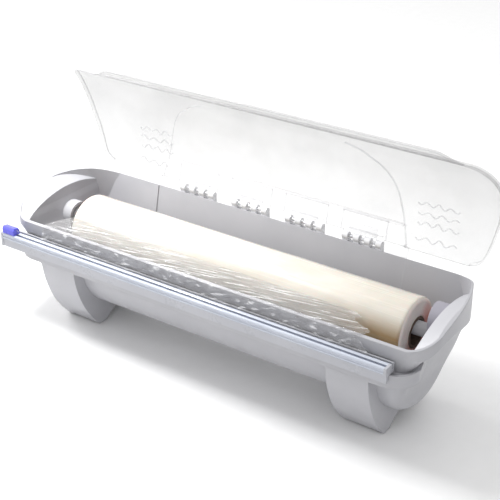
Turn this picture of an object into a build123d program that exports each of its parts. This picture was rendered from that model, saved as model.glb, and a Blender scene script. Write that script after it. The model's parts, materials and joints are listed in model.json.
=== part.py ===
from build123d import *
import os
from math import acos, atan2, cos, hypot, radians, sin, tan

# Cling film dispenser: an open trough on two pedestals that carries a film roll on two
# support pins, a cutter rail along its front and a clear lid hinged along its back rim.
#
# The working frame has X along the roll, Z up and its origin in the middle of the roll's
# axis. PLACE moves every piece to the part's own frame, whose origin is the centre of the
# bottom of the whole object. Millimetres throughout.

# Roll
ROLL_LENGTH = 450.0
ROLL_R = 38.0
CORE_OUTER_R = 17.0
CORE_INNER_R = 14.2
CORE_OVERHANG = 9.0

# Trough
WALL = 3.0
END_CORNER_R = 14.0
END_FOOT_X = 243.0
END_FOOT_Z = -56.0
END_BULGE = ((249.0, -27.0), (255.0, -5.0), (265.0, 12.0))
END_BRIM = (282.5, 34.0)
END_BRIM_TANGENT = (0.25, 1.0)
CREASE_X = 259.0
INNER_BULGE = ((246.0, -27.0), (252.0, -5.0), (257.0, 12.0))
INNER_BRIM = (CREASE_X, 30.0)
BOWL_Y = -10.0
BOWL_Z = -10.0
BOWL_R = 68.0
RIM_HALF = 281.0
RIM_FRONT_Y = -81.5
RIM_BACK_Y = 70.0
RIM_FRONT_R = 30.0
RIM_END_CURVE = ((279.0, -1.0), (266.0, 39.0), (252.0, 60.0), (222.0, 70.0))
RIM_EDGE = 2.6
RIM_ARC = ((-81.5, 27.6), (-6.0, 53.5), (70.0, 40.5))
CREASE_ARC = ((-78.0, 20.5), (-7.0, 44.0), (63.5, 28.0))
FLARE_RISE = 10.5
FLARE_START = 200.0
HINGE_ZONE_HALF = 172.0
HINGE_ZONE_DEPTH = 1.0
HINGE_ZONE_FROM = (20.0, -20.0)

# Blanks that are cut back reach past every finished face
TOP_OF_BLANKS = 80.0
HALF_OF_BLANKS = 320.0
DEPTH_OF_BLANKS = 120.0
ARC_OVERRUN = 12.0

# Ledge that carries the cutter rail
LEDGE_FRONT_Y = -94.0
LEDGE_HALF = 264.0
LEDGE_R = 28.0
LEDGE_BACK_X = 247.0
LEDGE_BACK_Y = -10.0
LEDGE_RIB_HALF = 232.0
LEDGE_LOW = -12.0
LEDGE_TOP = 0.0
LIP_TOP = 3.0
LIP_WIDTH = 2.5

# Pedestals and foot pads
FOOT_INNER_X = 171.0
FOOT_OUTER_X = 221.5
FOOT_LOW = -97.0
FOOT_TOES = (-54.0, -41.0, 21.0, 36.0)
FOOT_SHOULDER = (-92.5, -11.0)
FOOT_FRONT_BOW = (-80.5, -58.0)
FOOT_ARCH = (-10.0, -84.0)
FOOT_BACK_BOW = (55.0, -56.0)
FOOT_BACK_SHOULDER = (60.0, -8.0)
PAD_PROUD = 1.0
PAD_SUNK = 1.5
PAD_MARGIN = 5.0
PAD_DEPTH = 9.0
PAD_FRONT_Y = -51.5
PAD_BACK_Y = 24.0

# Cutter rail
RAIL_LEFT = -276.5
TRACK_RIGHT = 241.0
BASE_RIGHT = 244.0
CAP = 3.0
RAIL_FRONT_Y = -98.5
RAIL_TOP = 13.0
RAIL_LOW = -4.0
RAIL_PLATE_Y = -82.0
RAIL_PLATE = 2.0
RAIL_FLOOR = 5.5
TRACK_BACK_Y = -87.0
TRACK_INSIDE = (-95.5, -89.5)
TRACK_SLOT = (-94.2, -90.8)
TRACK_LIP = 2.0
TRACK_LIP_BEVEL = 0.5
TRACK_FLOOR = 7.5
TRACK_RIB = 0.8
TRACK_RIB_LEVELS = (2.0, 2.8, -3.2, -2.4, -1.0)
TRACK_EDGE = 0.6
RAIL_CLEAR = 0.4

# Slider
SLIDER_LENGTH = 18.0
SLIDER_GAP = 0.5
SLIDER_GRIP = ((-98.2, 0.4), (-88.4, 0.4), (-88.4, 5.0), (-90.0, 8.0), (-96.0, 9.0), (-98.2, 6.5))
KEEL_INSET = 2.0
KEEL_CLEAR = 0.4
BLADE_Y = -92.2
BLADE = 0.5
BLADE_SHAPE = ((-6.0, 1.0), (0.0, 1.0), (3.0, 4.5), (0.0, 6.0), (-6.0, 6.0))

# Lid and its hinge
LID_HALF = 279.5
LID_SHEET = 2.0
LID_FRONT_Y = -64.0
LID_BACK_Y = 65.0
LID_STRIP_Y = 68.0
LID_STRIP_Z = 49.5
LID_TAB_Y = 80.5
LID_TAB_GAP = 1.0
LID_RAMP = 21.4
LID_END_ARC = ((279.5, -25.0), (276.5, 2.0), (266.5, 42.0))
LID_BACK_CORNER = ((262.0, 56.0), (246.0, 65.0))
LID_LEFT_CORNER_R = 12.0
LID_RIGHT_CORNER_R = 38.0
LID_KNEE_Y = 50.0
LID_CROWN = (2.0, 65.35)
LID_BROW = (-52.0, 53.0)
LID_NOSE_Z = 39.5
LID_NOSE_TANGENT = (-0.25, -1.0)
LID_SHOULDER = ((34.0, 66.0), (10.0, 63.0), (0.0, 56.5))
LID_CLEAR = 1.0
LID_FLANGE = ((-63.5, 41.5), (-77.0, 34.6), (-76.4, 32.7), (-63.5, 39.3))
LID_FLANGE_HALF = 222.0
HINGE_Y = 73.0
HINGE_Z = 46.0
LID_OPEN = 79.0
PIN_R = 2.0
KNUCKLE_BORE_R = 2.05
KNUCKLE_R = 4.5
KNUCKLES = 4
KNUCKLE_GAP = 0.4
STATION_WIDTH = 50.0
STATION_X = (-115.0, -38.0, 38.0, 115.0)
HINGE_BACK_Y = 81.0
BLOCK_HIGH = 39.5
BLOCK_LOW = 20.0
BLOCK_STEP = 4.0
LEAF = 2.2
LEAF_Y = 56.0
LEAF_LENGTH = 9.0
WEB_FOOT = 1.5

# Roll supports
SUPPORT_PIN_R = 8.0
SUPPORT_PIN_Z = 5.9
SUPPORT_PIN_NOSE_X = 211.0
SUPPORT_PIN_CHAMFER = 1.5
SUPPORT_SHANK_R = 6.0
BRACKET_FACE = 244.0
BRACKET_POCKET = 4.0
BRACKET_RIM = 3.5
BRACKET_HALF = 17.0
BRACKET_LOW = -13.0
BRACKET_TOPS = {"left": 24.0, "right": 42.0}

# Free film, from the roll over the rim to the rail
FILM = 0.4
FILM_GAP = 0.35
FILM_LEAVE = 146.0
FILM_CREST = ((-78.2, 30.2), (-81.9, 28.4), (-82.4, 26.8))
FILM_END_Y = -87.6

AXIS_HEIGHT = PAD_PROUD - FOOT_LOW
CENTRE_Y = (RAIL_FRONT_Y + HINGE_BACK_Y) / 2
PLACE = Location((0, -CENTRE_Y, AXIS_HEIGHT))


def side_prism(face, x_low, x_high):
    """Extrude a face drawn in Y and Z from x_low to x_high."""
    return extrude(Plane.YZ.offset(x_low) * face, amount=x_high - x_low)


def front_prism(face):
    """Extrude a face drawn in X and Z through the whole depth of the blanks."""
    return extrude(Plane.XZ.offset(-DEPTH_OF_BLANKS) * face, amount=2 * DEPTH_OF_BLANKS)


def polygon(*points):
    """A filled polygon."""
    return make_face(Polyline(*points, close=True))


def block(low, high):
    """A box between two corners."""
    size = [b - a for a, b in zip(low, high)]
    centre = [(a + b) / 2 for a, b in zip(low, high)]
    return Pos(*centre) * Box(*size)


def x_cylinder(radius, x_low, x_high, y=0.0, z=0.0):
    """A cylinder along X."""
    return Pos((x_low + x_high) / 2, y, z) * Rot(0, 90, 0) * Cylinder(radius, x_high - x_low)


def arc_edge(points, rise=0.0):
    """The arc through three points in Y and Z, lifted by rise."""
    return ThreePointArc(*[(y, z + rise) for y, z in points])


def above_arc(points, rise, top):
    """The face between an arc and a level line well above it."""
    arc = arc_edge(points, rise)
    first, last = arc @ 0, arc @ 1
    cap = Polyline((last.X, last.Y), (last.X, top), (first.X, top), (first.X, first.Y))
    return make_face(arc + cap)


def tangent_on_bowl(y, z, radius, turn):
    """Where the tangent from a rim point touches the bowl's circle."""
    reach = hypot(y - BOWL_Y, z - BOWL_Z)
    heading = atan2(z - BOWL_Z, y - BOWL_Y) + turn * acos(radius / reach)
    return BOWL_Y + radius * cos(heading), BOWL_Z + radius * sin(heading)


def bowl_section(inset):
    """The U-shaped section of the trough, inset by a wall thickness."""
    radius = BOWL_R - inset
    front_rim = (RIM_ARC[0][0] + inset, RIM_ARC[0][1])
    back_rim = (RIM_ARC[2][0] - inset, RIM_ARC[2][1])
    front = tangent_on_bowl(*front_rim, radius, 1)
    back = tangent_on_bowl(*back_rim, radius, -1)
    bottom = (BOWL_Y, BOWL_Z - radius)

    def extend(foot, rim):
        share = (TOP_OF_BLANKS - foot[1]) / (rim[1] - foot[1])
        return foot[0] + share * (rim[0] - foot[0]), TOP_OF_BLANKS

    front_top = extend(front, front_rim)
    back_top = extend(back, back_rim)
    walls = Line(front_top, front) + ThreePointArc(front, bottom, back) + Line(back, back_top)
    return make_face(walls + Line(back_top, front_top))


def end_envelope(foot_x, bulge, brim):
    """All that lies between the two sloping end walls, seen from the front."""
    foot = (foot_x, END_FOOT_Z)
    slope = Spline(foot, *bulge, brim, tangents=((0, 1), END_BRIM_TANGENT))
    low, high = -DEPTH_OF_BLANKS, TOP_OF_BLANKS
    right = Line((foot_x, low), foot) + slope + Line(brim, (brim[0], high))
    left = mirror(right, Plane.YZ)
    caps = [Line((-foot_x, low), (foot_x, low)), Line((-brim[0], high), (brim[0], high))]
    return front_prism(make_face(right + left + caps))


def bowl(inset):
    """The trough's blank, with sloping ends and rounded corners between walls and ends."""
    if inset:
        envelope = end_envelope(END_FOOT_X - inset, INNER_BULGE, INNER_BRIM)
    else:
        envelope = end_envelope(END_FOOT_X, END_BULGE, END_BRIM)
    solid = side_prism(bowl_section(inset), -HALF_OF_BLANKS, HALF_OF_BLANKS) & envelope
    corners = [e for e in solid.edges()
               if abs(e.center().X) > END_FOOT_X / 2 and e.center().Z < TOP_OF_BLANKS - 1]
    return fillet(corners, END_CORNER_R - inset)


def front_corner(side, front, radius):
    """The rounded front corner of a plan, from the front edge to the end."""
    k = sin(radians(45))
    mid = (side - radius + radius * k, front + radius - radius * k)
    return ThreePointArc((side - radius, front), mid, (side, front + radius))


def rim_outline(inset):
    """The rim in plan: rounded at the front, its ends drawn in towards the hinge."""
    side = RIM_HALF - inset
    front = RIM_FRONT_Y + inset
    back = RIM_BACK_Y - inset
    radius = RIM_FRONT_R - inset
    (x1, y1), (x2, y2), (x3, y3), (x4, y4) = [(x - inset, y) for x, y in RIM_END_CURVE]
    edge = [Line((0, front), (side - radius, front)), front_corner(side, front, radius),
            ThreePointArc((side, front + radius), (x1, y1), (x2, y2)),
            ThreePointArc((x2, y2), (x3, y3), (x4, back)), Line((x4, back), (0, back))]
    half = Curve() + edge
    return make_face(half + mirror(half, Plane.YZ))


def tower(face):
    """A plan outline extruded past the whole height of the trough."""
    return extrude(Pos(0, 0, -TOP_OF_BLANKS) * face, amount=2 * TOP_OF_BLANKS)


def above_flare():
    """Both spaces over the sloping end bands, which rise outwards from the crease."""
    run = RIM_HALF - CREASE_X
    slope = FLARE_RISE / run
    reach = HALF_OF_BLANKS - FLARE_START
    start_rise = (FLARE_START - CREASE_X) * slope
    face = above_arc(longer_arc(CREASE_ARC), start_rise, 2 * TOP_OF_BLANKS)
    length = hypot(reach, reach * slope)
    right = extrude(Plane.YZ.offset(FLARE_START) * face, amount=length, dir=(run, 0, FLARE_RISE))
    return right + mirror(right, Plane.YZ)


def longer_arc(points):
    """The same arc, run on past both ends so that it crosses the walls."""
    circle = ThreePointArc(*points)
    centre = circle.arc_center
    radius = circle.radius
    ends = []
    for y, sign in ((points[0][0], -1), (points[2][0], 1)):
        new_y = y + sign * ARC_OVERRUN
        ends.append((new_y, centre.Y + (radius ** 2 - (new_y - centre.X) ** 2) ** 0.5))
    return ends[0], points[1], ends[1]


def ledge():
    """The shelf along the front with its upstanding lip, fading into both ends."""
    k = sin(radians(45))

    def outline(inset):
        side = LEDGE_HALF - inset
        front = LEDGE_FRONT_Y + inset
        r = LEDGE_R - inset
        turn = front + r
        corner = (side - r + r * k, turn - r * k)
        right = Line((LEDGE_BACK_X - inset, LEDGE_BACK_Y), (side, turn))
        right_arc = ThreePointArc((side, turn), corner, (side - r, front))
        left_arc = ThreePointArc((r - side, front), (-corner[0], corner[1]), (-side, turn))
        left = Line((-side, turn), (inset - LEDGE_BACK_X, LEDGE_BACK_Y))
        front_line = Line((side - r, front), (r - side, front))
        back_line = Line((inset - LEDGE_BACK_X, LEDGE_BACK_Y), (LEDGE_BACK_X - inset, LEDGE_BACK_Y))
        return make_face(Curve() + [right, right_arc, front_line, left_arc, left, back_line])

    shelf = extrude(Pos(0, 0, LEDGE_LOW) * outline(0), amount=LEDGE_TOP - LEDGE_LOW)
    lip = extrude(Pos(0, 0, LEDGE_TOP) * (outline(0) - outline(LIP_WIDTH)),
                  amount=LIP_TOP - LEDGE_TOP)
    lip -= block((-HALF_OF_BLANKS, LEDGE_FRONT_Y + LEDGE_R, LEDGE_LOW),
                 (HALF_OF_BLANKS, 0, TOP_OF_BLANKS))
    rib = block((-LEDGE_RIB_HALF, RAIL_PLATE_Y - RAIL_PLATE, LEDGE_TOP),
                (LEDGE_RIB_HALF, RAIL_PLATE_Y, LIP_TOP))
    return shelf + lip + rib


def pedestal_section():
    """Side view of a pedestal: a bowed front and back face with an arch underneath."""
    front_toe, front_heel, back_heel, back_toe = [(y, FOOT_LOW) for y in FOOT_TOES]
    edges = [ThreePointArc(FOOT_SHOULDER, FOOT_FRONT_BOW, front_toe), Line(front_toe, front_heel),
             ThreePointArc(front_heel, FOOT_ARCH, back_heel), Line(back_heel, back_toe),
             ThreePointArc(back_toe, FOOT_BACK_BOW, FOOT_BACK_SHOULDER),
             Line(FOOT_BACK_SHOULDER, FOOT_SHOULDER)]
    return make_face(Curve() + edges)


def pad_pocket_corners(side, y_front, low, high):
    """Two corners of one foot pad, or of the pocket that it sits in."""
    x_pair = sorted((side * (FOOT_INNER_X + PAD_MARGIN), side * (FOOT_OUTER_X - PAD_MARGIN)))
    return (x_pair[0], y_front, low), (x_pair[1], y_front + PAD_DEPTH, high)


def trough_body():
    """The moulded trough with its flared ends, ledge and pedestals."""
    inner_walls = side_prism(bowl_section(WALL), -HALF_OF_BLANKS, HALF_OF_BLANKS)
    inside_rim = tower(rim_outline(RIM_EDGE))
    body = (bowl(0) & tower(rim_outline(0))) + ledge()
    section = pedestal_section()
    for x in (-FOOT_OUTER_X, FOOT_INNER_X):
        body += side_prism(section, x, x + FOOT_OUTER_X - FOOT_INNER_X)
    body -= bowl(WALL) & inside_rim
    body -= inner_walls & inside_rim & above_flare()
    body -= side_prism(above_arc(longer_arc(RIM_ARC), 0, 2 * TOP_OF_BLANKS),
                       -HALF_OF_BLANKS, HALF_OF_BLANKS)
    zone = side_prism(bowl_section(WALL - HINGE_ZONE_DEPTH), -HINGE_ZONE_HALF, HINGE_ZONE_HALF)
    body -= zone & block((-HALF_OF_BLANKS, HINGE_ZONE_FROM[0], HINGE_ZONE_FROM[1]),
                         (HALF_OF_BLANKS, DEPTH_OF_BLANKS, TOP_OF_BLANKS))
    for side in (-1, 1):
        for y in (PAD_FRONT_Y, PAD_BACK_Y):
            body -= block(*pad_pocket_corners(side, y, FOOT_LOW - 1, FOOT_LOW + PAD_SUNK))
    return body


def foot_pads():
    """Four rubber pads, each sunk in a pocket of a pedestal."""
    pads = {}
    for side, side_name in ((-1, "left"), (1, "right")):
        for y, end_name in ((PAD_FRONT_Y, "front"), (PAD_BACK_Y, "back")):
            corners = pad_pocket_corners(side, y, FOOT_LOW - PAD_PROUD, FOOT_LOW + PAD_SUNK)
            pads[f"foot_pad_{end_name}_{side_name}"] = block(*corners)
    return pads


def rail_base():
    """The grey carrier that hooks over the ledge's lip."""
    front = RAIL_FRONT_Y + TRACK_RIB
    hook = LEDGE_FRONT_Y - RAIL_CLEAR
    plate_front = RAIL_PLATE_Y - RAIL_PLATE
    section = polygon((front, RAIL_LOW), (hook, RAIL_LOW), (hook, LIP_TOP), (RAIL_PLATE_Y, LIP_TOP),
                      (RAIL_PLATE_Y, RAIL_TOP), (plate_front, RAIL_TOP), (plate_front, RAIL_FLOOR),
                      (front, RAIL_FLOOR))
    return side_prism(section, RAIL_LEFT, BASE_RIGHT)


def track_section():
    """The channel that guides the slider, with ribs along its front face."""
    front = RAIL_FRONT_Y
    step = front + TRACK_RIB
    (inside_front, inside_back), (slot_front, slot_back) = TRACK_INSIDE, TRACK_SLOT
    bevel = RAIL_TOP - TRACK_LIP_BEVEL
    under = RAIL_TOP - TRACK_LIP
    low_front, low_step, high_step, high_front, top_front = TRACK_RIB_LEVELS
    back = [(TRACK_BACK_Y, RAIL_FLOOR), (TRACK_BACK_Y, RAIL_TOP), (inside_back, RAIL_TOP),
            (slot_back, bevel), (slot_back, under + TRACK_LIP_BEVEL), (inside_back, under),
            (inside_back, TRACK_FLOOR)]
    face = [(inside_front, TRACK_FLOOR), (inside_front, under),
            (slot_front, under + TRACK_LIP_BEVEL), (slot_front, bevel),
            (inside_front, RAIL_TOP), (step, RAIL_TOP), (front, RAIL_TOP + top_front),
            (front, RAIL_TOP + high_front), (step, RAIL_TOP + high_step),
            (step, RAIL_FLOOR + low_step), (front, RAIL_FLOOR + low_front)]
    return polygon((front, RAIL_FLOOR + TRACK_EDGE), (front + TRACK_EDGE, RAIL_FLOOR), *back, *face)


def rail_caps():
    """Plates that close both ends of the rail."""
    front = RAIL_FRONT_Y
    hook = LEDGE_FRONT_Y - RAIL_CLEAR
    tall = polygon((front, RAIL_LOW), (hook, RAIL_LOW), (hook, LIP_TOP), (RAIL_PLATE_Y, LIP_TOP),
                   (RAIL_PLATE_Y, RAIL_TOP), (front, RAIL_TOP))
    short = polygon((front, RAIL_FLOOR), (TRACK_BACK_Y, RAIL_FLOOR), (TRACK_BACK_Y, RAIL_TOP),
                    (front, RAIL_TOP))
    return {"rail_cap_left": side_prism(tall, RAIL_LEFT - CAP, RAIL_LEFT),
            "rail_cap_right": side_prism(short, TRACK_RIGHT, TRACK_RIGHT + CAP)}


def slider():
    """The cutter: a blue grip over the rail, its keel in the track and its blade."""
    x_low = RAIL_LEFT + SLIDER_GAP
    x_high = x_low + SLIDER_LENGTH
    keel = (x_low + KEEL_INSET, x_high - KEEL_INSET)
    body = side_prism(polygon(*[(y, RAIL_TOP + rise) for y, rise in SLIDER_GRIP]), x_low, x_high)
    slot_front, slot_back = TRACK_SLOT[0] + KEEL_CLEAR, TRACK_SLOT[1] - KEEL_CLEAR
    inside_front, inside_back = TRACK_INSIDE[0] + KEEL_CLEAR, TRACK_INSIDE[1] - KEEL_CLEAR
    head = RAIL_TOP - TRACK_LIP - KEEL_CLEAR
    sole = TRACK_FLOOR + KEEL_CLEAR
    grip_low = RAIL_TOP + SLIDER_GRIP[0][1]
    neck = side_prism(polygon((slot_front, head), (slot_back, head), (slot_back, grip_low),
                              (slot_front, grip_low)), *keel)
    foot = side_prism(polygon((inside_front, sole), (inside_back, sole), (inside_back, head),
                              (inside_front, head)), *keel)
    outline = [(x_high + x, RAIL_TOP + rise) for x, rise in BLADE_SHAPE]
    blade = extrude(Plane.XZ.offset(-BLADE_Y) * polygon(*outline), amount=BLADE)
    return {"slider_body": body - blade, "slider_keel": neck + foot, "slider_blade": blade}


def arch(inset, top):
    """Side view of a bracket: an arched plate, inset all round."""
    half = BRACKET_HALF - inset
    low = BRACKET_LOW + inset
    spring = top - BRACKET_HALF
    bow = ThreePointArc((half, spring), (0, spring + half), (-half, spring))
    return make_face(bow + Polyline((-half, spring), (-half, low), (half, low), (half, spring)))


def roll_supports():
    """At each end an arched bracket on the end wall and a fixed pin that the core hangs on."""
    parts = {}
    cavity = bowl(WALL)
    for side, name in ((-1, "left"), (1, "right")):
        top = BRACKET_TOPS[name]
        face = side * BRACKET_FACE
        floor = side * (BRACKET_FACE + BRACKET_POCKET)
        bracket = side_prism(arch(0, top), *sorted((face, side * RIM_HALF))) & cavity
        bracket -= side_prism(arch(BRACKET_RIM, top), *sorted((face, floor)))
        socket = sorted((face, floor))
        bracket += x_cylinder(SUPPORT_PIN_R + BRACKET_RIM, *socket, z=SUPPORT_PIN_Z)
        bracket -= x_cylinder(SUPPORT_SHANK_R, *socket, z=SUPPORT_PIN_Z)
        shank = x_cylinder(SUPPORT_SHANK_R, *socket, z=SUPPORT_PIN_Z)
        nose_x = side * SUPPORT_PIN_NOSE_X
        pin = x_cylinder(SUPPORT_PIN_R, *sorted((nose_x, face)), z=SUPPORT_PIN_Z)
        nose = [e for e in pin.edges() if abs(e.center().X - nose_x) < 0.01]
        parts[f"roll_bracket_{name}"] = bracket
        parts[f"support_pin_{name}"] = chamfer(nose, SUPPORT_PIN_CHAMFER) + shank
    return parts


def film_roll():
    """The wound film and its cardboard core, which stands out at the left."""
    half = ROLL_LENGTH / 2
    film = x_cylinder(ROLL_R, -half, half) - x_cylinder(CORE_OUTER_R, -half, half)
    left = -half - CORE_OVERHANG
    core = x_cylinder(CORE_OUTER_R, left, half) - x_cylinder(CORE_INNER_R, left, half)
    return {"film_roll": film, "core_tube": core}


def film_web():
    """The free film from the roll over the front rim to the back of the cutter rail."""
    leave = radians(FILM_LEAVE)
    radius = ROLL_R + FILM_GAP
    path = [(radius * cos(leave), radius * sin(leave)), *FILM_CREST, (FILM_END_Y, RAIL_TOP + FILM)]
    upper = [(y, z + FILM) for y, z in reversed(path)]
    return side_prism(polygon(*path, *upper), -ROLL_LENGTH / 2, ROLL_LENGTH / 2)


def ramp_height(y, depth):
    """Height of the closed lid's back ramp, or of a face at a depth beneath it."""
    level = LID_STRIP_Z + tan(radians(LID_RAMP)) * (LID_STRIP_Y - y)
    return level - depth / cos(radians(LID_RAMP))


def lid_profile(inset, low):
    """Side view of the closed lid, filled down to a level or to the rim's arc."""
    slope = tan(radians(LID_RAMP))
    share = sin(radians(45))
    back = (LID_STRIP_Y, ramp_height(LID_STRIP_Y, inset))
    knee = (LID_KNEE_Y, ramp_height(LID_KNEE_Y, inset))
    crown = (LID_CROWN[0], LID_CROWN[1] - inset)
    brow = (LID_BROW[0] + inset * share, LID_BROW[1] - inset * share)
    nose = (LID_FRONT_Y + inset, LID_NOSE_Z - inset / 2)
    top = Line(back, knee) + Spline(knee, crown, brow, nose,
                                    tangents=((-1, slope), LID_NOSE_TANGENT))
    rest = Polyline(nose, (nose[0], low), (back[0], low), back)
    return make_face(top + rest)


def lid_half_plan(inset, corner_r):
    """The right half of the lid's edge in plan, from the front round to the hinge strip."""
    side = LID_HALF - inset
    front = LID_FRONT_Y + inset
    back = LID_BACK_Y - inset
    radius = corner_r - inset
    (x1, y1), (x2, y2), (x3, y3) = [(x - inset, y) for x, y in LID_END_ARC]
    (x4, y4), (x5, _) = [(x - inset, y - inset / 2) for x, y in LID_BACK_CORNER]
    return Curve() + [Line((0, front), (side - radius, front)), front_corner(side, front, radius),
                      Line((side, front + radius), (x1, y1)),
                      ThreePointArc((x1, y1), (x2, y2), (x3, y3)),
                      ThreePointArc((x3, y3), (x4, y4), (x5, back)), Line((x5, back), (0, back))]


def lid_plan(inset):
    """The lid in plan: its left corner tight, its ends drawn in towards the hinge."""
    left = mirror(lid_half_plan(inset, LID_LEFT_CORNER_R), Plane.YZ)
    return make_face(lid_half_plan(inset, LID_RIGHT_CORNER_R) + left)


def lid_blank(inset, low):
    """The lid's domed blank: side view, end view and plan together."""
    half = LID_HALF - inset
    dome = side_prism(lid_profile(inset, low), -half, half)
    curve = [(half - back, height - inset) for back, height in LID_SHOULDER]
    shoulder = ThreePointArc(*curve)
    (flat_x, flat_z), (end_x, end_z) = curve[0], curve[-1]
    walls = Polyline((end_x, end_z), (end_x, 0), (-end_x, 0), (-end_x, end_z))
    end = make_face(shoulder + walls + mirror(shoulder, Plane.YZ)
                    + Line((-flat_x, flat_z), (flat_x, flat_z)))
    strip_half = HINGE_ZONE_HALF - inset
    strip = block((-strip_half, 0, 0), (strip_half, DEPTH_OF_BLANKS, 2 * TOP_OF_BLANKS))
    return dome & front_prism(end) & (tower(lid_plan(inset)) + strip)


def lid_shell():
    """The clear lid in its closed place."""
    shell = lid_blank(0, 0) - lid_blank(LID_SHEET, -LID_SHEET)
    shell &= side_prism(above_arc(longer_arc(RIM_ARC), LID_CLEAR, 2 * TOP_OF_BLANKS),
                        -HALF_OF_BLANKS, HALF_OF_BLANKS)
    shell += side_prism(polygon(*LID_FLANGE), -LID_FLANGE_HALF, LID_FLANGE_HALF)
    start = LID_STRIP_Y - LID_SHEET
    tab = polygon(*[(y, ramp_height(y, depth)) for y, depth in
                    ((start, 0), (LID_TAB_Y, 0), (LID_TAB_Y, LID_SHEET), (start, LID_SHEET))])
    clear = STATION_WIDTH / 2 + LID_TAB_GAP
    edges = [-HINGE_ZONE_HALF]
    for centre in STATION_X:
        edges += [centre - clear, centre + clear]
    edges.append(HINGE_ZONE_HALF)
    for x_low, x_high in zip(edges[::2], edges[1::2]):
        shell += side_prism(tab, x_low, x_high)
    return shell


def to_open(shape):
    """Swing a piece of the closed lid up to where it rests when open."""
    axis = Axis((0, HINGE_Y, HINGE_Z), (1, 0, 0))
    return shape.rotate(axis, -LID_OPEN)


def hinge_block_sections():
    """Side views of a hinge block's wall plate and of the saddle under a knuckle."""
    foot = tangent_on_bowl(RIM_BACK_Y, RIM_ARC[2][1], BOWL_R, -1)
    lean = (RIM_BACK_Y - foot[0]) / (RIM_ARC[2][1] - foot[1])
    back = HINGE_BACK_Y - BLOCK_STEP

    def wall(z):
        return RIM_BACK_Y - (RIM_ARC[2][1] - z) * lean

    plate = polygon((wall(BLOCK_HIGH), BLOCK_HIGH), (wall(BLOCK_LOW), BLOCK_LOW),
                    (wall(BLOCK_LOW) + WALL, BLOCK_LOW), (back, BLOCK_HIGH - 2 * BLOCK_STEP),
                    (back, BLOCK_HIGH))
    saddle = polygon((HINGE_Y - WALL, BLOCK_HIGH), (back, BLOCK_HIGH), (back, HINGE_Z),
                     (HINGE_Y - WALL, HINGE_Z))
    return plate, saddle


def clip_sections():
    """Side views of a closed lid clip's webs and of the leaf that joins them under the lid."""
    leaf_end = LEAF_Y + LEAF_LENGTH
    web = polygon((LEAF_Y, ramp_height(LEAF_Y, LID_SHEET)),
                  (LID_STRIP_Y, ramp_height(LID_STRIP_Y, LID_SHEET)),
                  (HINGE_Y, HINGE_Z + KNUCKLE_R / 2), (HINGE_Y - WEB_FOOT, HINGE_Z - WEB_FOOT),
                  (LEAF_Y, ramp_height(LEAF_Y, LID_SHEET + LEAF)))
    leaf = polygon((LEAF_Y, ramp_height(LEAF_Y, LID_SHEET)),
                   (leaf_end, ramp_height(leaf_end, LID_SHEET)),
                   (leaf_end, ramp_height(leaf_end, LID_SHEET + LEAF)),
                   (LEAF_Y, ramp_height(LEAF_Y, LID_SHEET + LEAF)))
    return web, leaf


def hinge_stations():
    """Four hinges, each with knuckles that stand by turns on the trough and on the lid."""
    parts = {}
    plate, saddle = hinge_block_sections()
    web, leaf = clip_sections()
    lobe = STATION_WIDTH / (2 * KNUCKLES - 1)
    for number, centre in enumerate(STATION_X, 1):
        left = centre - STATION_WIDTH / 2
        right = centre + STATION_WIDTH / 2
        base = side_prism(plate, left, right)
        for k in range(KNUCKLES):
            x = left + 2 * k * lobe
            base += side_prism(saddle, x, x + lobe)
            base += x_cylinder(KNUCKLE_R, x, x + lobe, HINGE_Y, HINGE_Z)
            base -= x_cylinder(PIN_R, x, x + lobe, HINGE_Y, HINGE_Z)
        clip = side_prism(leaf, left + lobe + KNUCKLE_GAP, right - lobe - KNUCKLE_GAP)
        for k in range(KNUCKLES - 1):
            a = left + (2 * k + 1) * lobe + KNUCKLE_GAP
            b = a + lobe - 2 * KNUCKLE_GAP
            clip += side_prism(web, a, b)
            clip += x_cylinder(KNUCKLE_R, a, b, HINGE_Y, HINGE_Z)
            clip -= x_cylinder(KNUCKLE_BORE_R, a, b, HINGE_Y, HINGE_Z)
        parts[f"hinge_block_{number}"] = base
        parts[f"lid_clip_{number}"] = to_open(clip)
        parts[f"hinge_pin_{number}"] = x_cylinder(PIN_R, left, right, HINGE_Y, HINGE_Z)
    return parts


def build():
    """Every piece by name, in the working frame."""
    pieces = {"trough_body": trough_body(), "rail_base": rail_base(),
              "rail_track": side_prism(track_section(), RAIL_LEFT, TRACK_RIGHT),
              "film_web": film_web(), "lid_shell": to_open(lid_shell())}
    for group in (foot_pads(), rail_caps(), slider(), roll_supports(), film_roll(),
                  hinge_stations()):
        pieces.update(group)
    return pieces


os.makedirs("parts", exist_ok=True)
for node, piece in build().items():
    placed = piece.moved(PLACE)
    placed.label = node
    export_step(placed, f"parts/{node}.step")
    box = placed.bounding_box()
    print(node, len(placed.solids()), round(placed.volume), box.min, box.max)
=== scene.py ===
import json
import math

import bmesh
import bpy
import numpy as np
from mathutils import Matrix, Vector, noise


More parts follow.
